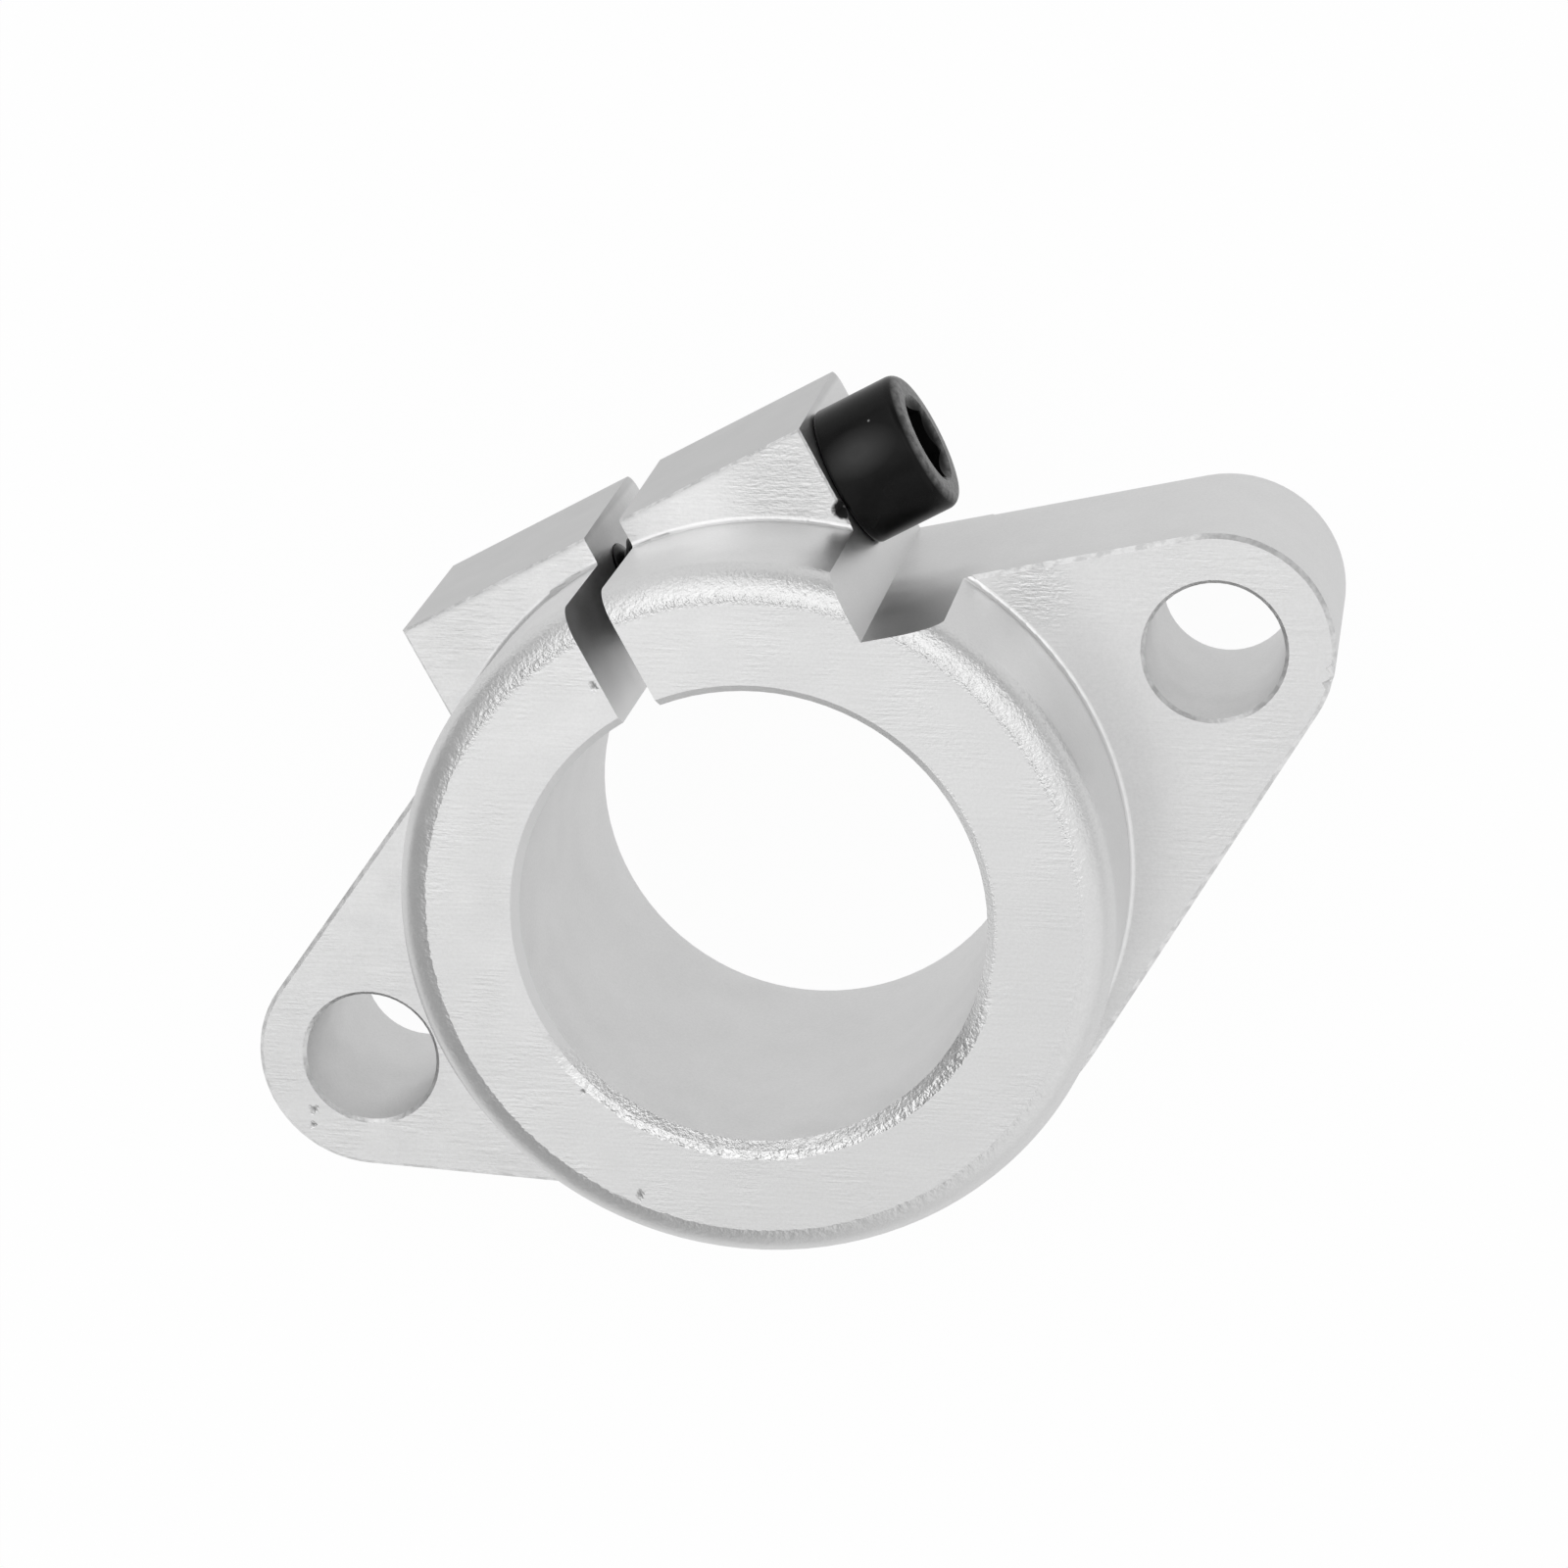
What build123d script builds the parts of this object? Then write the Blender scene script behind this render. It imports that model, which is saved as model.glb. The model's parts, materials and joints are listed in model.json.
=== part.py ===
from build123d import *
import os
from math import asin, cos, radians, sin, tan

# Flanged shaft support block with a split clamp, in millimetres.
# The origin is on the bore axis at the mounting face. +Z runs along the bore
# towards the hub's nose, +X towards the lobe on the screw head's side, and +Y
# towards the clamp lug.

# Shaft bore and hub
bore_diameter = 30.0
bore_chamfer = 0.5
hub_diameter = 46.0
hub_length = 30.0
hub_nose_fillet = 2.0
hub_foot_fillet = 0.35

# Flange with its two lobes
flange_thickness = 17.4
hole_pitch = 64.0
hole_diameter = 9.0
hole_chamfer = 0.25
lobe_radius = 7.75
flange_belly_radius = 24.3
flange_shoulder_radius = 22.15
flange_edge_break = 0.3

# Clamp lug and the slot that splits it. The lug's top rises towards the
# mounting face by the casting's draft.
lug_half_width = 15.0
lug_top = 24.9
lug_root = 8.0
lug_draft_angle = 1.35
lug_back_fillet = 1.3
lug_edge_break = 0.15
slot_width = 2.65
slot_centre = 0.27

# Small knocks in the front edges: one in the lug beside the screw head, and
# two that run together on the right lobe, at angles about the lobe's centre
lug_nick_height = 19.0
lug_nick_radius = 0.55
lobe_nick_angles = (-35.0, -43.0)
lobe_nick_radius = 0.65
nick_drop = 1.0
nick_taper = 18.0

# Key notch beside the lug: a flat floor that falls towards the right lobe
notch_floor_angle = 16.0

# Clamp screw, M6 with a socket head that sits on the lug's right wall
screw_height = 19.9
screw_depth = 12.0
screw_diameter = 6.0
screw_length = 25.0
screw_tip_chamfer = 0.8
head_diameter = 9.5
head_height = 6.0
head_rim_fillet = 0.8
head_seat_chamfer = 0.3
head_seat_gap = 0.03
socket_across_flats = 5.0
socket_depth = 3.2
socket_mouth_diameter = 6.2
socket_mouth_depth = 0.5
socket_point_depth = 0.9
socket_point_diameter = 0.2

# The screw's holes in the two halves of the lug
clearance_hole_diameter = 6.6
running_clearance = 0.05
hole_countersink = 0.5

cut_margin = 2.0

bore_radius = bore_diameter / 2
hub_radius = hub_diameter / 2
half_pitch = hole_pitch / 2
lug_back_top = lug_top + flange_thickness * tan(radians(lug_draft_angle))
floor_slope = radians(notch_floor_angle)


def tangent_points(centre_radius, side, height):
    """Ends of the straight edge that touches a circle about the bore axis and
    a lobe; side is 1 for the right lobe, height is 1 for the upper edge."""
    lean = asin((centre_radius - lobe_radius) / half_pitch)
    across = side * sin(lean)
    up = height * cos(lean)
    near_bore = (centre_radius * across, centre_radius * up)
    near_lobe = (side * half_pitch + lobe_radius * across, lobe_radius * up)
    return near_bore, near_lobe


def notch_floor_height(x):
    """Height of the notch floor above the bore axis at the distance x."""
    return (lobe_radius + (half_pitch - x) * sin(floor_slope)) / cos(floor_slope)


def screw_line(diameter, start, end):
    """Cylinder on the clamp screw's axis between two distances along X."""
    place = Pos((start + end) / 2, screw_height, screw_depth)
    return place * Rot(0, 90, 0) * Cylinder(diameter / 2, end - start)


def screw_cone(start_diameter, end_diameter, start, end):
    """Cone on the clamp screw's axis between two distances along X."""
    place = Pos((start + end) / 2, screw_height, screw_depth)
    return place * Rot(0, 90, 0) * Cone(start_diameter / 2, end_diameter / 2, end - start)


def flange_outline():
    """Rhomboid flange: two round lobes, a round belly under the hub, a raised
    left shoulder and the flat that carries on from the notch floor."""
    belly_right, lower_right = tangent_points(flange_belly_radius, 1, -1)
    belly_left, lower_left = tangent_points(flange_belly_radius, -1, -1)
    shoulder, upper_left = tangent_points(flange_shoulder_radius, -1, 1)
    flat_end = (half_pitch + lobe_radius * sin(floor_slope), lobe_radius * cos(floor_slope))
    notch_corner = (lug_half_width, notch_floor_height(lug_half_width))
    under_lug = (lug_half_width - cut_margin, hub_radius - 2 * cut_margin)
    with BuildSketch() as outline:
        with BuildLine():
            Line(shoulder, upper_left)
            ThreePointArc(upper_left, (-half_pitch - lobe_radius, 0), lower_left)
            Line(lower_left, belly_left)
            ThreePointArc(belly_left, (0, -flange_belly_radius), belly_right)
            Line(belly_right, lower_right)
            ThreePointArc(lower_right, (half_pitch + lobe_radius, 0), flat_end)
            Polyline(flat_end, notch_corner, under_lug, shoulder)
        make_face()
    return outline.sketch


def lug_outline():
    """Front view of the lug, down to where it is rooted in the hub."""
    with BuildSketch() as outline:
        with Locations((0, (lug_top + lug_root) / 2)):
            Rectangle(2 * lug_half_width, lug_top - lug_root)
    return outline.sketch


def flange_plate():
    """The flange with the edges of both rims broken."""
    plate = extrude(flange_outline(), amount=flange_thickness)
    rims = plate.edges().filter_by(Plane.XY)
    return chamfer(rims, flange_edge_break)


def hub():
    """Round hub with a rounded nose, cut away over the notch floor."""
    outside = hub_radius + cut_margin
    blank = Cylinder(hub_radius, hub_length, align=(Align.CENTER, Align.CENTER, Align.MIN))
    nose = blank.edges().filter_by(GeomType.CIRCLE).sort_by(Axis.Z)[-1]
    blank = fillet(nose, hub_nose_fillet)
    with BuildSketch(Plane.XY.offset(-cut_margin)) as notch:
        with BuildLine():
            Polyline(
                (lug_half_width, notch_floor_height(lug_half_width)),
                (outside, notch_floor_height(outside)),
                (outside, outside),
                (lug_half_width, outside),
                close=True,
            )
        make_face()
    return blank - extrude(notch.sketch, amount=hub_length + 2 * cut_margin)


def clamp_lug():
    """Lug over the hub: its side view drawn out to both sides, with a larger
    round on its upper back edge."""
    with BuildPart() as lug:
        with BuildSketch(Plane.YZ):
            with BuildLine():
                Polyline(
                    (lug_root, 0),
                    (lug_back_top, 0),
                    (lug_top, flange_thickness),
                    (lug_root, flange_thickness),
                    close=True,
                )
            make_face()
        extrude(amount=lug_half_width, both=True)
    block = lug.part
    back_top = block.edges().filter_by(Axis.X).sort_by(Axis.Y)[-1]
    block = fillet(back_top, lug_back_fillet)
    front = block.faces().sort_by(Axis.Z)[-1]
    top_front = front.edges().filter_by(Axis.X).sort_by(Axis.Y)[-1]
    ends_front = front.edges().filter_by(Axis.Y)
    return chamfer([top_front, *ends_front], lug_edge_break)


def hub_foot():
    """Small concave round between the hub and the faces that it stands on. It
    is a turned ring, kept only where flange or lug lies under it."""
    inner = hub_radius - hub_foot_fillet
    outer = hub_radius + hub_foot_fillet
    low = flange_thickness - hub_foot_fillet
    high = flange_thickness + hub_foot_fillet
    with BuildPart() as ring:
        with BuildSketch(Plane.XZ):
            with BuildLine():
                Polyline(
                    (hub_radius, high),
                    (inner, high),
                    (inner, low),
                    (outer, low),
                    (outer, flange_thickness),
                )
                RadiusArc((outer, flange_thickness), (hub_radius, high), hub_foot_fillet)
            make_face()
        revolve(axis=Axis.Z)
    ground = extrude(flange_outline() + lug_outline(), amount=hub_length)
    return ring.part & ground


def casting():
    """Flange, hub and lug as one piece, with a small round at the hub's foot."""
    return flange_plate() + hub() + clamp_lug() + hub_foot()


def shaft_bore():
    """Through bore with a chamfer at each mouth."""
    top = hub_length + cut_margin
    through = Cylinder(bore_radius, top + cut_margin, align=(Align.CENTER, Align.CENTER, Align.MIN))
    reach = bore_chamfer + cut_margin
    mouth = Cone(bore_radius + reach, bore_radius, reach, align=(Align.CENTER, Align.CENTER, Align.MIN))
    back = Pos(0, 0, -cut_margin) * mouth
    front = Pos(0, 0, top) * Rot(180, 0, 0) * mouth
    return Pos(0, 0, -cut_margin) * through + back + front


def mounting_holes():
    """Two through holes in the lobes, with their edges broken at both faces."""
    length = flange_thickness + 2 * cut_margin
    reach = hole_chamfer + cut_margin
    radius = hole_diameter / 2
    through = Pos(0, 0, -cut_margin) * Cylinder(
        radius, length, align=(Align.CENTER, Align.CENTER, Align.MIN)
    )
    mouth = Cone(radius + reach, radius, reach, align=(Align.CENTER, Align.CENTER, Align.MIN))
    back = Pos(0, 0, -cut_margin) * mouth
    front = Pos(0, 0, flange_thickness + cut_margin) * Rot(180, 0, 0) * mouth
    hole = through + back + front
    return [Pos(side * half_pitch, 0, 0) * hole for side in (-1, 1)]


def clamp_slot():
    """Slot from the lug's top down into the bore, over the whole length."""
    height = lug_back_top + cut_margin
    return Pos(slot_centre, height / 2, hub_length / 2) * Box(
        slot_width, height, hub_length + 2 * cut_margin
    )


def screw_holes():
    """Clearance hole in the right half of the lug, and in the left half the
    threaded hole, at its thread's outer diameter."""
    threaded_diameter = screw_diameter + 2 * running_clearance
    outside = lug_half_width + cut_margin
    clearance = screw_line(clearance_hole_diameter, slot_centre, outside)
    threaded = screw_line(threaded_diameter, -outside, slot_centre)
    mouth_diameter = threaded_diameter + 2 * hole_countersink
    mouth = screw_cone(mouth_diameter, threaded_diameter, -lug_half_width, hole_countersink - lug_half_width)
    return clearance + threaded + mouth


def edge_nick(x, y, radius, turn):
    """Pointed bite at a place on a front edge, with one corner turned inwards."""
    with BuildSketch(Plane.XY.offset(flange_thickness)) as bite:
        with Locations(Location((x, y, 0), (0, 0, turn))):
            RegularPolygon(radius, 4)
    return extrude(bite.sketch, amount=-nick_drop, taper=nick_taper)


def edge_nicks():
    """The knock in the lug's right edge and the pair on the right lobe's rim."""
    nicks = [edge_nick(lug_half_width, lug_nick_height, lug_nick_radius, 0)]
    for angle in lobe_nick_angles:
        x = half_pitch + lobe_radius * cos(radians(angle))
        y = lobe_radius * sin(radians(angle))
        nicks.append(edge_nick(x, y, lobe_nick_radius, angle))
    return nicks


def support_body():
    """The whole body: casting less its bore, slot, holes and nicks."""
    body = casting() - shaft_bore() - clamp_slot() - screw_holes()
    for cut in mounting_holes() + edge_nicks():
        body -= cut
    return body


def clamp_screw():
    """Socket head cap screw. Its profile is turned about the screw's axis and
    the hexagon socket is sunk in the head."""
    head_start = lug_half_width + head_seat_gap
    head_end = head_start + head_height
    tip = head_start - screw_length
    shank_radius = screw_diameter / 2
    head_radius = head_diameter / 2
    profile_plane = Plane(origin=(0, screw_height, screw_depth), x_dir=(1, 0, 0), z_dir=(0, 0, 1))
    axis = Axis((0, screw_height, screw_depth), (1, 0, 0))
    with BuildPart() as screw:
        with BuildSketch(profile_plane):
            with BuildLine():
                Polyline(
                    (tip, 0),
                    (tip, shank_radius - screw_tip_chamfer),
                    (tip + screw_tip_chamfer, shank_radius),
                    (head_start, shank_radius),
                    (head_start, head_radius - head_seat_chamfer),
                    (head_start + head_seat_chamfer, head_radius),
                    (head_end, head_radius),
                    (head_end, 0),
                    close=True,
                )
            make_face()
        revolve(axis=axis)
        rim = screw.edges().filter_by(GeomType.CIRCLE).sort_by(Axis.X)[-1]
        fillet(rim, head_rim_fillet)
        with BuildSketch(Plane.YZ.offset(head_end - socket_depth)):
            with Locations((screw_height, screw_depth)):
                RegularPolygon(socket_across_flats / 2, 6, major_radius=False)
        extrude(amount=socket_depth + cut_margin, mode=Mode.SUBTRACT)
    floor = head_end - socket_depth
    point = screw_cone(socket_point_diameter, socket_across_flats, floor - socket_point_depth, floor)
    mouth = screw_cone(socket_across_flats, socket_mouth_diameter, head_end - socket_mouth_depth, head_end)
    return screw.part - point - mouth


os.makedirs("parts", exist_ok=True)
for node, shape in (("support_body", support_body()), ("clamp_screw", clamp_screw())):
    export_step(shape, f"parts/{node}.step")
    print(node, "volume", round(shape.volume, 1), "faces", len(shape.faces()), "solids", len(shape.solids()))
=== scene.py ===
"""Looks of the flanged shaft support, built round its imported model. Lengths are in metres."""

import json
from math import cos, floor, pi, radians, sin, tan

import bmesh
import bpy
from mathutils import Matrix, Vector


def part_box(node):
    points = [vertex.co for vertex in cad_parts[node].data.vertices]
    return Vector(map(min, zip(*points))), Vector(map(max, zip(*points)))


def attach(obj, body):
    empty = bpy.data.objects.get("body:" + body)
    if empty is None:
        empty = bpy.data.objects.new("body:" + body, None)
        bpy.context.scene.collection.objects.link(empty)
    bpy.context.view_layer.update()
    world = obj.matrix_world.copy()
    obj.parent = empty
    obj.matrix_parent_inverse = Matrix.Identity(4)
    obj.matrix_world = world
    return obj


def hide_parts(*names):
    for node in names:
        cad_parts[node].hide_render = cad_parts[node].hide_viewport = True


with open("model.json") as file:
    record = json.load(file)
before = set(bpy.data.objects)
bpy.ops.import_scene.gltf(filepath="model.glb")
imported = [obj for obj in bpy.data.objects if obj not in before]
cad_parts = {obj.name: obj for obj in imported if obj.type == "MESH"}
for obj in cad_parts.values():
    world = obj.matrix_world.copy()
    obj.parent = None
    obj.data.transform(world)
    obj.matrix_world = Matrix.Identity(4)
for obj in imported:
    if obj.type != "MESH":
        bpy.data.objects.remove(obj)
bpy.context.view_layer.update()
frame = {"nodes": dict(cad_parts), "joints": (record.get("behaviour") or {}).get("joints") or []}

mm = 0.001
micron = 0.001 * mm

# Camera, where the photograph was taken from
camera_target = Vector((2.064, 4.053, 15.0)) * mm
camera_distance = 301.515 * mm
camera_azimuth = radians(125.087)
camera_elevation = radians(70.92)
camera_roll = radians(-152.531)
camera_lens = 104.925
camera_sensor = 36
camera_clip = (0.01, 50)

# Screw: its axis runs along X, and its place comes from the frame
screw_joint = frame["joints"][0]
axis_y = screw_joint["pos_m"][1]
axis_z = screw_joint["pos_m"][2]
screw_low, screw_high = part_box("clamp_screw")
screw_tip = screw_low.x
head_end = screw_high.x
head_height = 6.0 * mm
head_start = head_end - head_height
head_radius = (screw_high.y - screw_low.y) / 2
head_rim = 0.8 * mm
head_seat_round = 0.35 * mm
screw_columns = 96
arc_rows = 8
tip_chamfer = 0.8 * mm

# Hexagon socket in the head, with a pointed bottom
socket_across_flats = 5.0 * mm
socket_depth = 3.2 * mm
socket_mouth_radius = 3.1 * mm
socket_mouth_slope = 0.5 / 0.6
socket_point_depth = 0.864 * mm
socket_point_radius = 0.1 * mm

# M6 coarse thread, outside and inside
thread_pitch = 1.0 * mm
thread_depth = 0.6134 * mm
thread_radius = 3.0 * mm
flank_angle = radians(30)
crest_half = thread_pitch / 16
flank_rows = 3
screw_run_out = 2.0 * mm
nut_radius = 3.05 * mm
nut_depth = 0.54 * mm
nut_start = -14.3 * mm
nut_end = screw_tip - 0.35 * mm
nut_run_out = 0.5 * mm
nut_skin = 0.2 * mm

# New meshes: distances that close gaps, and the angle from which an edge is crisp
weld_gap = 0.0005 * mm
smallest_edge = 0.0002 * mm
crisp_angle = radians(28)

# Casting
hub_length = 30 * mm
bore_radius = 15 * mm
bore_chamfer = 0.5 * mm
flange_face = 17.4 * mm
lug_top = 24.9 * mm

# Slight corner where the facing cut meets the nose, and the tilted band at the bore's rim
nose_start = 21 * mm
corner_width = 1.3 * mm
corner_slope = 0.27
rim_band = 1.15 * mm
rim_slope = 0.38

# Soft edge on the right half of the bore's mouth
mouth_rise = 0.36 * mm

# Tool marks on the front faces: their direction, and the length and width of a mark
mark_turn = radians(-28.7)
mark_size = (3.0 * mm, 0.25 * mm)
dash_size = (0.9 * mm, 0.22 * mm)

# Patches of coarser grain in mm: place, radius of the full grain and radius where it ends
grain_patches = (
    (12.3, 21.9, 17.4, 1.8, 5.0),
    (23.4, 8.6, 17.4, 0.8, 3.2),
)

# Pits in mm: place and radius
pits = (
    (-1.5, 17.9, 30.0, 0.34),
    (-15.5, -13.2, 30.0, 0.38),
    (-15.4, -5.3, 30.0, 0.24),
    (-37.5, -1.5, 17.4, 0.34),
    (-38.1, -2.5, 17.4, 0.28),
)

# Painted shade inside the knock beside the screw head
nick_place = Vector((15.0, 19.0, 17.1)) * mm
nick_reach = (0.6 * mm, 0.8 * mm)

# Masks on the casting by the Z of the surface's normal: where each one is 0, and where 1
faced_tilt = (0.985, 0.998)
upward_tilt = (0.05, 0.15)
sloped_tilt = (0.15, 0.3)
flat_tilt = (0.97, 0.9)
upright_tilt = (0.3, 0.1)
mouth_tilt = (0.3, 0.6)

# Masks on the casting by place or by radius about the bore: where each one is 0, and where 1
upper_z = (flange_face + 1 * mm, hub_length - 2.5 * mm)
chipped_z = (flange_face + 0.05 * mm, flange_face)
mouth_z = (hub_length, hub_length - bore_chamfer)
nose_radius = (nose_start - 0.3 * mm, nose_start)
corner_inner = (nose_start - 0.4 * mm, nose_start)
corner_outer = (nose_start + 0.5 * mm, nose_start + 0.1 * mm)
corner_fall = (nose_start, nose_start + corner_width)
rim_radius = (bore_radius + rim_band, bore_radius + bore_chamfer)
rim_y = (-1 * mm, -7 * mm)
rim_x = (11.5 * mm, 7.5 * mm)
mouth_radius = (bore_radius + 0.7 * mm, bore_radius + 0.6 * mm)
mouth_x = (7 * mm, 10.5 * mm)
mouth_y = (6 * mm, 1 * mm)
slot_radius = (bore_radius + 4 * mm, bore_radius + 0.5 * mm)
slot_y = (bore_radius - 1.5 * mm, bore_radius - 1.0 * mm)
# The lug's top, made darker in colour as painted shade
lug_top_shade_y = (lug_top - 0.4 * mm, lug_top - 0.1 * mm)
grainy_side_x_share = 0.8
grainy_side = (6 * mm, 16 * mm)

# Noises on the casting: features per metre, octaves after the first, and their roughness
uneven_noise = (1900, 2, 0.6)
cloud_noise = (260, 1, 0.5)
grain_noise = (4200, 2, 0.65)
mark_noise = (1.0, 2, 0.5)
dash_noise = (1.0, 1, 0.6)
mottle_noise = (90, 2, 0.5)
speckle_noise = (5200, 1, 0.6)
chip_noise = (1300, 2, 0.6)
gloss_noise = (330, 2, 0.6)
middle_noise = (0.3, 0.7)

# How noises and masks are stretched: the ends of a range, and what they become if not 0 and 1
rim_start = (0.0, 0.3)
patch_range = (0.42, 0.62, 0.3, 1.0)
streak_range = (0.48, 0.66, 0.02, 0.16)
corner_range = (0.0, 1.0, 0.1, 1.0)
chip_range = (0.40, 0.60)

# How far the noise moves an uneven edge, and how much more the edge of a pit
uneven_reach = 0.4 * mm
torn_amount = 2.5

# Heights of the grain, the tool marks and the pits on the casting
plain_grain = 12 * micron
coarse_grain = 52 * micron
rim_grain = 85 * micron
mouth_grain = 75 * micron
corner_grain = 85 * micron
nose_grain = 55 * micron
chipped_grain = 14 * micron
mark_height = 16 * micron
dash_height = 80 * micron
wave_height = 20 * micron
pit_depth = 60 * micron

# Base colour of the casting in each place, and its roughness
metal_tones = (0.80, 0.83)
speckle_tones = 0.10
coarse_tone = 0.74
# Painted shade on the lug's top
lug_top_shade_tone = 0.67
# Front edges lighter in uneven nicks: partly wear, partly a painted highlight
chipped_wear_and_highlight_tones = (0.75, 0.95)
# Painted highlight in nicks on the band at the bore's lower rim
rim_highlight_tone = 0.96
# Painted highlight on the edges
smooth_edge_highlight_tone = 0.90
# Painted light at the slot's end near the bore
slot_end_light_tone = 0.97
pit_tone = 0.45
# Painted shade in the knock
nick_shade_tone = 0.05
metal_roughness = (0.34, 0.40)
bore_edge_roughness = 0.3
nick_roughness = 0.9

# Black oxide: base colour, painted highlight on the crown, painted reflection on the end ring, speck and
# gloss
oxide_noise = (700, 3, 0.6)
oxide_tones = (0.004, 0.007)
crown_place = Vector((head_start + 2.4 * mm, axis_y + 1.85 * mm, axis_z + 4.35 * mm))
crown_stretch = (0.6, 1, 1)
crown_reach = (1.7 * mm, 0.4 * mm)
crown_highlight_tone = 0.04
end_x = (head_end - 0.35 * mm, head_end - 0.1 * mm)
end_radius = (socket_mouth_radius - 0.5 * mm, socket_mouth_radius)
end_noise = (1900, 3, 0.6)
end_range = (0.36, 0.66, 0.07, 0.18)
speck_place = Vector((18.85, 23.1, 15.5)) * mm
speck_reach = (0.02 * mm, 0.11 * mm)
speck_tone = 0.3
oxide_gloss_noise = (420, 3, 0.5)
oxide_roughness = (0.20, 0.28)
oxide_grain_noise = (2600, 3, 0.6)
oxide_grain = 4 * micron
oxide_specular = 0.13

# Floor: size, finish, how much of it glows by itself, and how brightly in the metal
floor_side = 6.0
floor_drop = 0.02 * mm
floor_color = (0.92, 0.92, 0.92, 1)
floor_roughness = 0.9
floor_shown_share = 0.965
floor_metal_share = 0.85
floor_in_metal = 0.79
# Under the openings the floor glows a little brighter in the metal: a painted pool of light
floor_in_openings = 0.81
opening_edge = 1

# Openings through the casting in mm: place and radius
openings = (
    (0, 0, 0, 15),
    (-32, 0, 0, 4.5),
    (32, 0, 0, 4.5),
)

# Room, with each soft light's azimuth, elevation and half width in degrees, and its strength
room_light = 0.36
soft_lights = (
    (86, 60, 44, 0.86),
    (299, 40, 60, 0.52),
    (200, 66, 16, 0.69),
    (140, 68, 28, 0.36),
    (88, 17, 22, 0.72),
    (250, 8, 32, 0.17),
    (18, 47, 27, 0.80),
)


def add(tree, kind, inputs=None, **settings):
    """Adds a shader node. An input is a socket to link or a value to set."""
    made = tree.nodes.new(kind)
    for name, value in settings.items():
        setattr(made, name, value)
    for name, value in (inputs or {}).items():
        if isinstance(value, bpy.types.NodeSocket):
            tree.links.new(value, made.inputs[name])
        else:
            made.inputs[name].default_value = value
    return made


def calc(tree, operation, first, second=0.0):
    """Result of one arithmetic node."""
    made = add(tree, "ShaderNodeMath", {0: first, 1: second}, operation=operation)
    return made.outputs["Value"]


def vector_calc(tree, operation, first, second, output):
    """Result of one node of vector arithmetic."""
    made = add(tree, "ShaderNodeVectorMath", {0: first, 1: second}, operation=operation)
    return made.outputs[output]


def spread(tree, value, low, high, to_low=0.0, to_high=1.0):
    """Value stretched from one range to another, and held at its ends."""
    inputs = {"Value": value, "From Min": low, "From Max": high, "To Min": to_low, "To Max": to_high}
    return add(tree, "ShaderNodeMapRange", inputs).outputs["Result"]


def noise(tree, place, scale, detail, roughness):
    """Value of a noise whose features are about one over the scale."""
    inputs = {"Vector": place, "Scale": scale, "Detail": detail, "Roughness": roughness}
    return add(tree, "ShaderNodeTexNoise", inputs).outputs["Fac"]


def new_material(name):
    """A material with its shader, its node tree and the object's coordinates."""
    material = bpy.data.materials.new(name)
    material.use_nodes = True
    tree = material.node_tree
    shader = tree.nodes["Principled BSDF"]
    place = add(tree, "ShaderNodeTexCoord").outputs["Object"]
    return material, tree, shader, place


def scaled(tree, value, amount):
    """Noise value about zero, times an amount."""
    return calc(tree, "MULTIPLY", calc(tree, "SUBTRACT", value, 0.5), amount)


def chained(tree, operation, values):
    """Several values taken together by one operation."""
    result = values[0]
    for value in values[1:]:
        result = calc(tree, operation, result, value)
    return result


def total(tree, values):
    """Sum of several values."""
    return chained(tree, "ADD", values)


def product(tree, values):
    """Product of several values, or all of several masks at once."""
    return chained(tree, "MULTIPLY", values)


def either(tree, values):
    """The strongest of several masks."""
    return chained(tree, "MAXIMUM", values)


def near(tree, place, centre, inner, outer, uneven=0.0):
    """1 within the inner distance of a place, 0 beyond the outer one. What is
    uneven is added to the distance."""
    gap = vector_calc(tree, "DISTANCE", place, centre, "Value")
    return spread(tree, calc(tree, "ADD", gap, uneven), outer, inner)


def inverse(tree, value):
    """What a mask leaves out."""
    return calc(tree, "SUBTRACT", 1.0, value)


def mix(tree, share, first, second):
    """Value between two, by a share."""
    made = add(tree, "ShaderNodeMix", {"Factor": share, "A": first, "B": second}, data_type="FLOAT")
    return made.outputs["Result"]


def along(tree, place, size):
    """Coordinates drawn out along the tool marks, for a length and width of mark."""
    inputs = {"Vector": place, "Rotation": (0, 0, mark_turn), "Scale": (size[0], size[1], mm)}
    return add(tree, "ShaderNodeMapping", inputs, vector_type="TEXTURE").outputs["Vector"]


def distance(tree, place, keep, centre):
    """Distance from a centre, with each axis counted by its share."""
    moved = vector_calc(tree, "SUBTRACT", place, centre, "Vector")
    flat = vector_calc(tree, "MULTIPLY", moved, keep, "Vector")
    return add(tree, "ShaderNodeVectorMath", {0: flat}, operation="LENGTH").outputs["Value"]


def raised(tree, shader, height):
    """Gives a shader a surface whose height is in metres."""
    bump = add(tree, "ShaderNodeBump", {"Strength": 1.0, "Distance": 1.0, "Height": height})
    tree.links.new(bump.outputs["Normal"], shader.inputs["Normal"])


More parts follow.
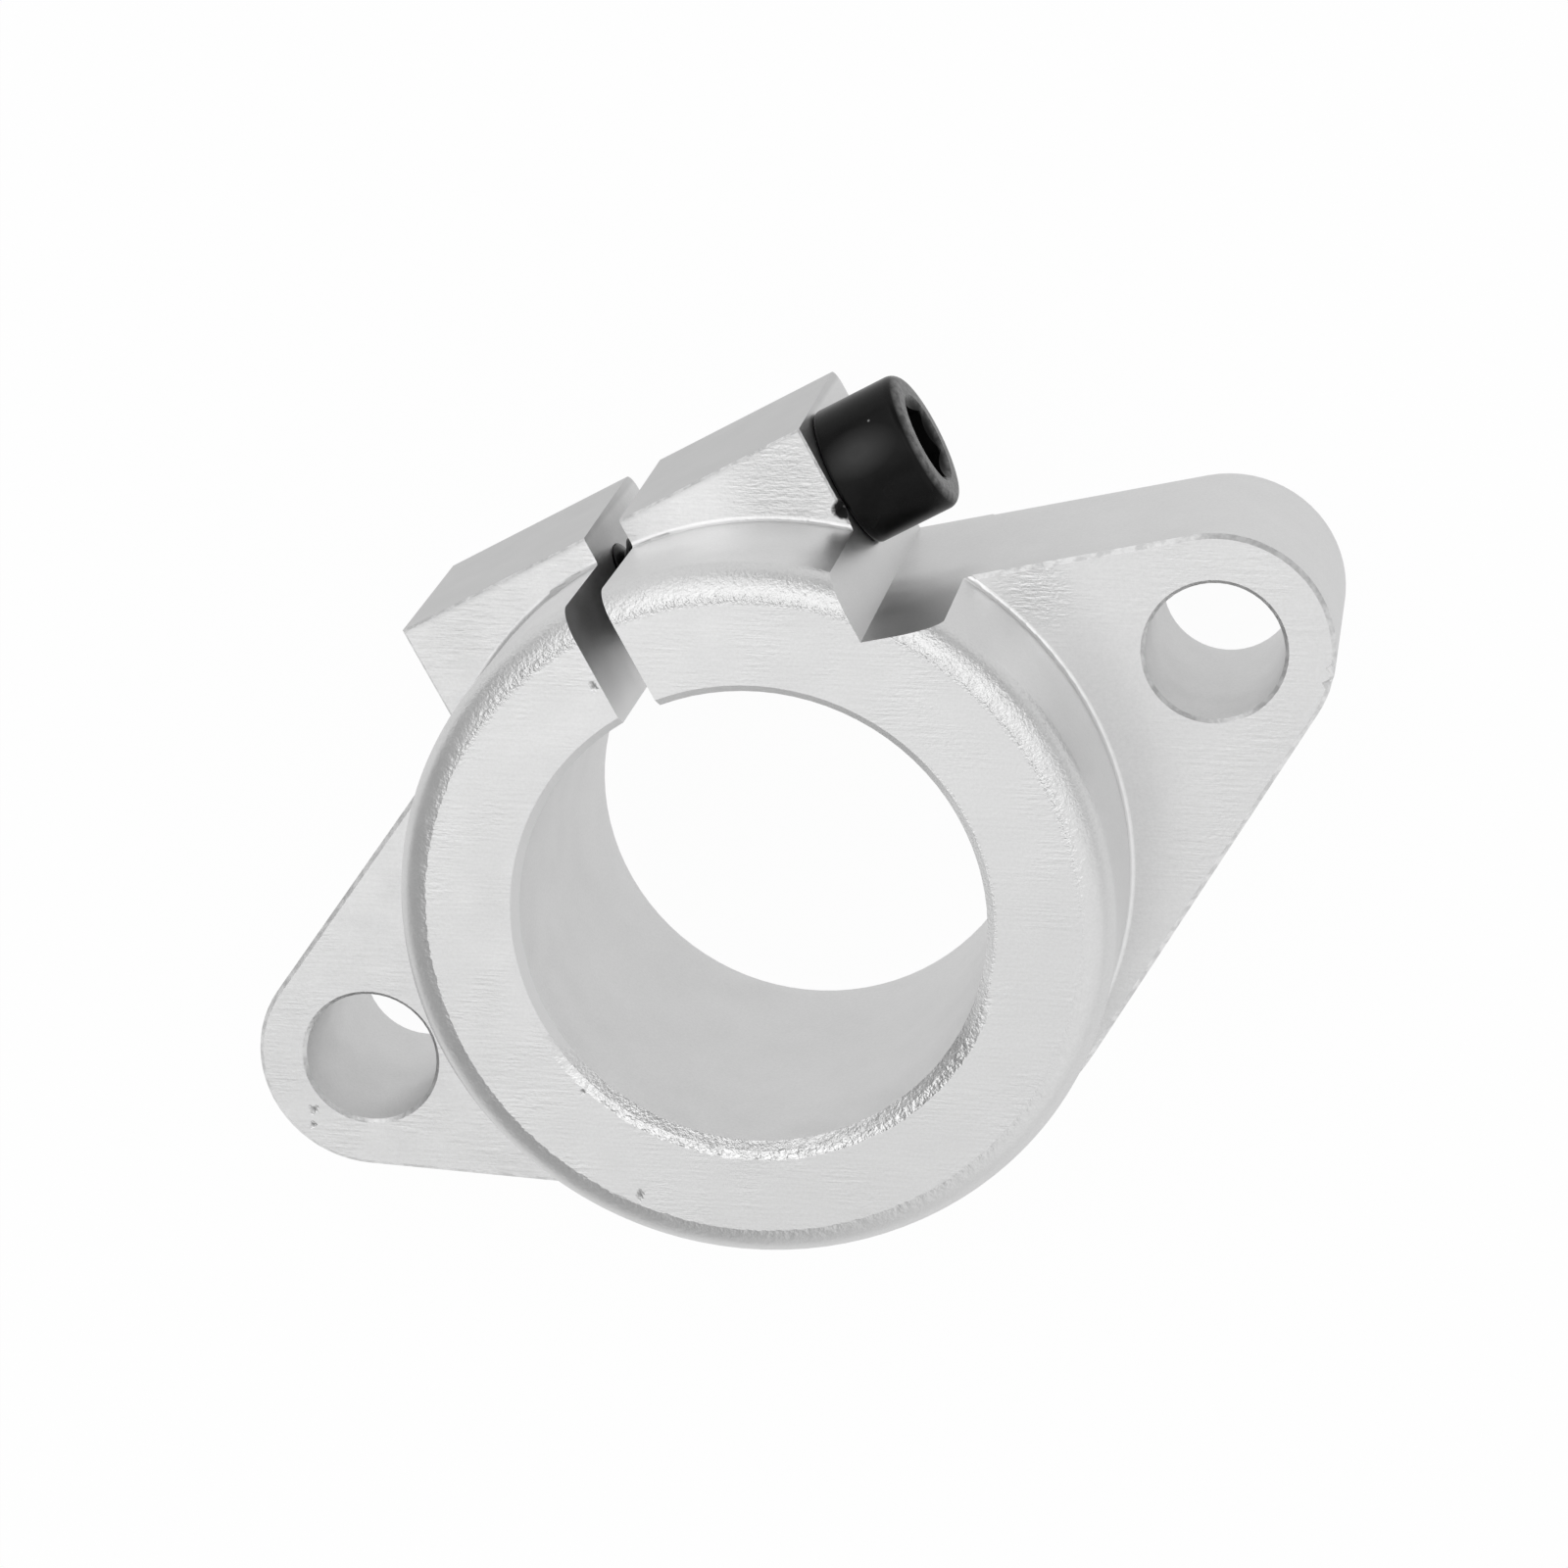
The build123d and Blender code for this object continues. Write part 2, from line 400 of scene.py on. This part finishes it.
def aluminium():
    """Natural aluminium: a fine grain, faint tool marks on the faced surfaces,
    slight mottling and small pits. Edges and the band on the bore's lower rim
    are lighter as painted highlights, in nicks with wear on the front edges;
    the slot's end is lighter as painted light; the lug's top and the knock
    beside the head are darker as painted shade."""
    material, tree, shader, place = new_material("cast_aluminium")
    axes = add(tree, "ShaderNodeSeparateXYZ", {"Vector": place}).outputs
    radius = distance(tree, place, (1, 1, 0), (0, 0, 0))
    normal = add(tree, "ShaderNodeNewGeometry").outputs["Normal"]
    facing = add(tree, "ShaderNodeSeparateXYZ", {"Vector": normal}).outputs["Z"]
    level = calc(tree, "ABSOLUTE", facing)
    uneven = scaled(tree, noise(tree, place, *uneven_noise), uneven_reach)
    ragged = calc(tree, "ADD", radius, uneven)

    # Front surfaces, and the nose with its corner
    faced = spread(tree, level, *faced_tilt)
    top_side = product(tree, [spread(tree, axes["Z"], *upper_z), spread(tree, facing, *upward_tilt)])
    nose = product(tree, [top_side, spread(tree, radius, *nose_radius)])
    corner_ring = product(tree, [
        top_side,
        spread(tree, ragged, *corner_inner),
        spread(tree, ragged, *corner_outer),
    ])
    grainy_part = calc(tree, "ADD", axes["Y"], calc(tree, "MULTIPLY", axes["X"], grainy_side_x_share))
    grainy_part = spread(tree, grainy_part, *grainy_side)

    # Band on the bore's lower rim, tilted and lighter in nicks as a painted highlight, and the bore's mouth
    # on the right
    rim_reach = spread(tree, ragged, *rim_radius)
    rim_side = product(tree, [top_side, spread(tree, axes["Y"], *rim_y), spread(tree, axes["X"], *rim_x)])
    rim = product(tree, [rim_side, spread(tree, rim_reach, *rim_start)])
    mouth = product(tree, [
        spread(tree, facing, *mouth_tilt),
        spread(tree, radius, *mouth_radius),
        spread(tree, axes["X"], *mouth_x),
        spread(tree, axes["Y"], *mouth_y),
    ])

    # Edges, lighter in colour as a painted highlight; the end of the slot, lighter as painted light; and the
    # lug's top, darker as painted shade
    sloped = product(tree, [
        spread(tree, level, *sloped_tilt),
        spread(tree, level, *flat_tilt),
        inverse(tree, either(tree, [nose, rim])),
    ])
    # Front edges, lighter in nicks: partly wear, partly a painted highlight
    chipped = product(tree, [sloped, spread(tree, axes["Z"], *chipped_z)])
    # Edge surfaces other than the front edges: lighter in colour as a painted highlight
    smooth_edge = calc(tree, "SUBTRACT", sloped, chipped)
    # The slot's end near the bore, lighter in colour as painted light
    slot_end_light = product(tree, [
        spread(tree, radius, *slot_radius),
        spread(tree, level, *upright_tilt),
        spread(tree, axes["Y"], *slot_y),
    ])
    # Painted shade: the lug's top is darker in colour
    lug_top_shade = spread(tree, axes["Y"], *lug_top_shade_y)

    # Coarse patches, pits, and the painted shade in the knock
    coarse = either(tree, [
        near(tree, place, Vector(patch[:3]) * mm, patch[3] * mm, patch[4] * mm)
        for patch in grain_patches
    ])
    torn = calc(tree, "MULTIPLY", uneven, torn_amount)
    pitted = either(tree, [
        near(tree, place, Vector(pit[:3]) * mm, 0.0, pit[3] * mm, torn)
        for pit in pits
    ])
    knock_shade = near(tree, place, nick_place, *nick_reach, uneven)
    cloudy = noise(tree, place, *cloud_noise)
    patchy = spread(tree, cloudy, *patch_range)
    streaky = either(tree, [coarse, spread(tree, cloudy, *streak_range)])

    # Height of the surface
    grain_height = total(tree, [
        calc(tree, "MULTIPLY", patchy, plain_grain),
        calc(tree, "MULTIPLY", coarse, coarse_grain),
        calc(tree, "MULTIPLY", rim, rim_grain),
        calc(tree, "MULTIPLY", mouth, mouth_grain),
        product(tree, [corner_ring, spread(tree, grainy_part, *corner_range), corner_grain]),
        product(tree, [nose, grainy_part, nose_grain]),
        calc(tree, "MULTIPLY", chipped, chipped_grain),
    ])
    grain = product(tree, [scaled(tree, noise(tree, place, *grain_noise), 1.0), grain_height])
    marks = scaled(tree, noise(tree, along(tree, place, mark_size), *mark_noise), mark_height)
    dashes = scaled(tree, noise(tree, along(tree, place, dash_size), *dash_noise), dash_height)
    inside = spread(tree, ragged, *corner_fall)
    eased = calc(tree, "SUBTRACT", inside, calc(tree, "MULTIPLY", product(tree, [inside, inside]), 0.5))
    raised(tree, shader, total(tree, [
        grain,
        product(tree, [marks, faced, patchy]),
        product(tree, [dashes, faced, streaky]),
        scaled(tree, cloudy, wave_height),
        product(tree, [eased, top_side, -corner_slope * corner_width]),
        product(tree, [rim_reach, rim_side, -rim_slope * rim_band]),
        product(tree, [mouth, spread(tree, axes["Z"], *mouth_z), mouth_rise]),
        calc(tree, "MULTIPLY", pitted, -pit_depth),
    ]))

    # Colour
    tone = spread(tree, noise(tree, place, *mottle_noise), *middle_noise, *metal_tones)
    tone = calc(tree, "ADD", tone, scaled(tree, noise(tree, place, *speckle_noise), speckle_tones))
    chips = spread(tree, noise(tree, place, *chip_noise), *chip_range)
    # Shades over the mottled tone: coarse grain, painted shade on the lug's top, wear and painted highlight
    # in the front edges' nicks, painted highlights on the rim and other edges, painted light at the slot's
    # end, pits, and painted shade in the knock
    for share, shade in (
        (coarse, coarse_tone),
        (lug_top_shade, lug_top_shade_tone),
        (chipped, mix(tree, chips, *chipped_wear_and_highlight_tones)),
        (product(tree, [rim, chips]), rim_highlight_tone),
        (smooth_edge, smooth_edge_highlight_tone),
        (slot_end_light, slot_end_light_tone),
        (pitted, pit_tone),
        (knock_shade, nick_shade_tone),
    ):
        tone = mix(tree, share, tone, shade)
    tree.links.new(tone, shader.inputs["Base Color"])

    # Gloss
    roughness = spread(tree, noise(tree, place, *gloss_noise), *middle_noise, *metal_roughness)
    bore_edge = product(tree, [smooth_edge, top_side])
    roughness = calc(tree, "ADD", roughness, calc(tree, "MULTIPLY", bore_edge, bore_edge_roughness))
    tree.links.new(mix(tree, knock_shade, roughness, nick_roughness), shader.inputs["Roughness"])
    shader.inputs["Metallic"].default_value = 1.0
    return material


def black_oxide():
    """Black oxide on steel, smooth and a little oily, with a painted highlight
    on the crown of the head and a painted reflection, lighter in streaks, on
    the ring at its end."""
    material, tree, shader, place = new_material("black_oxide_steel")
    along_screw = add(tree, "ShaderNodeSeparateXYZ", {"Vector": place}).outputs["X"]
    radius = distance(tree, place, (0, 1, 1), (0, axis_y, axis_z))
    # Painted highlight on the crown of the head
    crown_highlight = spread(tree, distance(tree, place, crown_stretch, crown_place), *crown_reach)
    # Painted reflection on the ring at the head's end, lighter in streaks
    end_ring_reflection = product(tree, [spread(tree, along_screw, *end_x), spread(tree, radius, *end_radius)])
    streaks = spread(tree, noise(tree, place, *end_noise), *end_range)
    speck = near(tree, place, speck_place, *speck_reach)
    tone = total(tree, [
        spread(tree, noise(tree, place, *oxide_noise), *middle_noise, *oxide_tones),
        calc(tree, "MULTIPLY", crown_highlight, crown_highlight_tone),
        calc(tree, "MULTIPLY", end_ring_reflection, streaks),
        calc(tree, "MULTIPLY", speck, speck_tone),
    ])
    tree.links.new(tone, shader.inputs["Base Color"])
    roughness = spread(tree, noise(tree, place, *oxide_gloss_noise), *middle_noise, *oxide_roughness)
    tree.links.new(roughness, shader.inputs["Roughness"])
    raised(tree, shader, scaled(tree, noise(tree, place, *oxide_grain_noise), oxide_grain))
    shader.inputs["Specular IOR Level"].default_value = oxide_specular
    return material


def paint(node, material):
    """Gives a CAD node its finish and leaves its mesh alone."""
    slots = frame["nodes"][node].data.materials
    slots.clear()
    slots.append(material)


def ring(mesh, places, radii):
    """Vertices round the screw's axis, one for each column."""
    made = []
    for column in range(screw_columns):
        angle = 2 * pi * column / screw_columns
        y = axis_y + radii[column] * cos(angle)
        z = axis_z + radii[column] * sin(angle)
        made.append(mesh.verts.new((places[column], y, z)))
    return made


def round_ring(mesh, place, radius):
    """Plain round ring at one place along the screw's axis."""
    return ring(mesh, [place] * screw_columns, [radius] * screw_columns)


def skin(mesh, rings):
    """Faces between rings that follow one another."""
    for first, second in zip(rings, rings[1:]):
        for column in range(screw_columns):
            after = (column + 1) % screw_columns
            mesh.faces.new((first[column], first[after], second[after], second[column]))


def arc_points(centre_x, centre_r, radius, start, end):
    """Points of an arc in the half plane through the axis."""
    made = []
    for step in range(arc_rows + 1):
        angle = start + (end - start) * step / arc_rows
        made.append((centre_x + radius * cos(angle), centre_r + radius * sin(angle)))
    return made


def hexagon_radius(column):
    """Distance from the axis to the socket's wall. The corners lie on column 0
    and on every sixth of a turn from there."""
    angle = 2 * pi * column / screw_columns
    sixth = pi / 3
    return socket_across_flats / 2 / cos(angle % sixth - sixth / 2)


def head_rings(mesh):
    """Head from its bearing face, over the rim, down into the socket."""
    seat_centre = (head_start + head_seat_round, head_radius - head_seat_round)
    seat_arc = arc_points(*seat_centre, head_seat_round, pi, pi / 2)
    rim_arc = arc_points(head_end - head_rim, head_radius - head_rim, head_rim, pi / 2, 0)
    profile = [(head_start, thread_radius)] + seat_arc + rim_arc + [(head_end, socket_mouth_radius)]
    rings = [round_ring(mesh, x, r) for x, r in profile]
    wall = [hexagon_radius(column) for column in range(screw_columns)]
    mouth = [head_end - (socket_mouth_radius - r) * socket_mouth_slope for r in wall]
    bottom = head_end - socket_depth
    rings.append(ring(mesh, mouth, wall))
    rings.append(ring(mesh, [bottom] * screw_columns, wall))
    rings.append(round_ring(mesh, bottom, socket_across_flats / 2))
    rings.append(round_ring(mesh, bottom - socket_point_depth, socket_point_radius))
    return rings


def thread_profile(radius, depth):
    """Distance along the axis and radius of one pitch of thread, crest first."""
    flank = depth * tan(flank_angle)
    points = []
    for step in range(flank_rows + 1):
        share = step / flank_rows
        points.append((crest_half + flank * share, radius - depth * share))
    for step in range(flank_rows + 1):
        share = 1 - step / flank_rows
        points.append((thread_pitch - crest_half - flank * share, radius - depth * share))
    return points


def thread_rings(mesh, start, end, profile, limit):
    """Helical thread between two places. The limit gives the radius from the
    place and the thread's own radius, so it shapes both ends."""
    first_turn = floor(start / thread_pitch) - 2
    last_turn = floor(end / thread_pitch) + 2
    strips = []
    for turn in range(first_turn, last_turn):
        for offset, radius in profile:
            strip = []
            for column in range(screw_columns + 1):
                share = column / screw_columns
                x = min(max((turn + share) * thread_pitch + offset, start), end)
                angle = 2 * pi * share
                r = limit(x, radius)
                strip.append(mesh.verts.new((x, axis_y + r * cos(angle), axis_z + r * sin(angle))))
            strips.append(strip)
    for first, second in zip(strips, strips[1:]):
        for column in range(screw_columns):
            mesh.faces.new((first[column], first[column + 1], second[column + 1], second[column]))
    return strips[0][:-1]


def finished_piece(name, mesh, material, body):
    """Object from a closed mesh: welded, with crisp edges where faces turn sharply."""
    bmesh.ops.remove_doubles(mesh, verts=mesh.verts, dist=weld_gap)
    bmesh.ops.dissolve_degenerate(mesh, edges=mesh.edges, dist=smallest_edge)
    bmesh.ops.recalc_face_normals(mesh, faces=mesh.faces)
    for face in mesh.faces:
        face.smooth = True
    for edge in mesh.edges:
        edge.smooth = edge.calc_face_angle(0) < crisp_angle
    data = bpy.data.meshes.new(name)
    mesh.to_mesh(data)
    mesh.free()
    data.materials.append(material)
    piece = bpy.data.objects.new(name, data)
    bpy.context.scene.collection.objects.link(piece)
    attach(piece, body)
    return piece


def detailed_screw(material):
    """Socket head screw with its thread, in place of the plain one."""
    mesh = bmesh.new()
    rings = head_rings(mesh)
    skin(mesh, rings)
    mesh.faces.new(rings[-1])

    def limit(x, radius):
        """Chamfer at the tip and a thread that runs out below the head."""
        fade = min(1, max(0, (head_start - screw_run_out - x) / screw_run_out))
        faded = thread_radius - (thread_radius - radius) * fade
        return min(faded, thread_radius - tip_chamfer + (x - screw_tip))

    profile = thread_profile(thread_radius, thread_depth)
    mesh.faces.new(thread_rings(mesh, screw_tip, head_start, profile, limit))
    piece = finished_piece("socket_head_screw", mesh, material, "screw")
    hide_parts("clamp_screw")


def tapped_thread(material):
    """Thread inside the lug's left half, beyond the screw's tip."""
    mesh = bmesh.new()

    def limit(x, radius):
        """The thread runs out at both ends."""
        fade = min(1, (x - nut_start) / nut_run_out, (nut_end - x) / nut_run_out)
        return nut_radius - (nut_radius - radius) * max(0, fade)

    thread_rings(mesh, nut_start, nut_end, thread_profile(nut_radius, nut_depth), limit)
    skin(mesh, [round_ring(mesh, x, r) for x, r in (
        (nut_end, nut_radius),
        (nut_end, nut_radius + nut_skin),
        (nut_start, nut_radius + nut_skin),
        (nut_start, nut_radius),
    )])
    finished_piece("tapped_thread", mesh, material, "block")


def background_rays(tree):
    """Light paths, and 1 for rays that show the background: from the camera and through glass."""
    path = add(tree, "ShaderNodeLightPath").outputs
    return path, calc(tree, "MAXIMUM", path["Is Camera Ray"], path["Is Transmission Ray"])


def floor_plane():
    """Pale floor that the mounting face lies on. It shows as white with a soft
    shadow to the camera, and a little darker in the metal. Under the openings
    it glows a little brighter in the metal, as a painted pool of light."""
    bpy.ops.mesh.primitive_plane_add(size=floor_side, location=(0, 0, -floor_drop))
    plane = bpy.context.object
    plane.name = "floor"
    material, tree, shader, place = new_material("floor_paper")
    shader.inputs["Base Color"].default_value = floor_color
    shader.inputs["Roughness"].default_value = floor_roughness
    path, shown = background_rays(tree)
    in_metal = path["Is Glossy Ray"]
    share = either(tree, [
        calc(tree, "MULTIPLY", shown, floor_shown_share),
        calc(tree, "MULTIPLY", in_metal, floor_metal_share),
    ])
    below = either(tree, [
        near(tree, place, Vector(opening[:3]) * mm, opening[3] * mm, (opening[3] + opening_edge) * mm)
        for opening in openings
    ])
    # Painted pool of light: in the metal the floor glows brighter under the openings
    pale = mix(tree, below, floor_in_metal, floor_in_openings)
    glow = add(tree, "ShaderNodeEmission", {"Strength": mix(tree, in_metal, 1.0, pale)})
    shaders = {0: share, 1: shader.outputs["BSDF"], 2: glow.outputs["Emission"]}
    mixed = add(tree, "ShaderNodeMixShader", shaders)
    tree.links.new(mixed.outputs["Shader"], tree.nodes["Material Output"].inputs["Surface"])
    plane.data.materials.append(material)


def toward(azimuth, elevation):
    """Direction from its azimuth, from +X towards +Y, and its elevation in degrees."""
    level = cos(radians(elevation))
    return Vector((cos(radians(azimuth)) * level, sin(radians(azimuth)) * level, sin(radians(elevation))))


def studio():
    """Pale surroundings with large soft lights, some of them brighter than others."""
    world = bpy.data.worlds.new("studio")
    bpy.context.scene.world = world
    world.use_nodes = True
    tree = world.node_tree
    direction = add(tree, "ShaderNodeTexCoord").outputs["Generated"]
    light = room_light
    for azimuth, elevation, half_width, strength in soft_lights:
        facing = vector_calc(tree, "DOT_PRODUCT", direction, toward(azimuth, elevation), "Value")
        inputs = {"Value": facing, "From Min": cos(radians(half_width)), "From Max": 1.0, "To Max": strength}
        lobe = add(tree, "ShaderNodeMapRange", inputs, interpolation_type="SMOOTHSTEP")
        light = calc(tree, "ADD", lobe.outputs["Result"], light)
    _, shown = background_rays(tree)
    background = tree.nodes["Background"]
    background.inputs["Color"].default_value = (1, 1, 1, 1)
    tree.links.new(mix(tree, shown, light, 1.0), background.inputs["Strength"])


def camera():
    """Camera at the photograph's place."""
    data = bpy.data.cameras.new("camera")
    data.lens = camera_lens
    data.sensor_width = camera_sensor
    data.clip_start, data.clip_end = camera_clip
    holder = bpy.data.objects.new("camera", data)
    bpy.context.scene.collection.objects.link(holder)
    level = cos(camera_elevation)
    back = Vector((sin(camera_azimuth) * level, -cos(camera_azimuth) * level, sin(camera_elevation)))
    holder.location = camera_target + back * camera_distance
    turn = (-back).to_track_quat("-Z", "Y").to_matrix().to_4x4()
    holder.rotation_mode = "QUATERNION"
    holder.rotation_quaternion = (turn @ Matrix.Rotation(camera_roll, 4, "Z")).to_quaternion()
    bpy.context.scene.camera = holder


cast_aluminium = aluminium()
black_steel = black_oxide()
paint("support_body", cast_aluminium)
detailed_screw(black_steel)
tapped_thread(cast_aluminium)
floor_plane()
studio()
camera()

bpy.context.scene.view_settings.view_transform = "Standard"
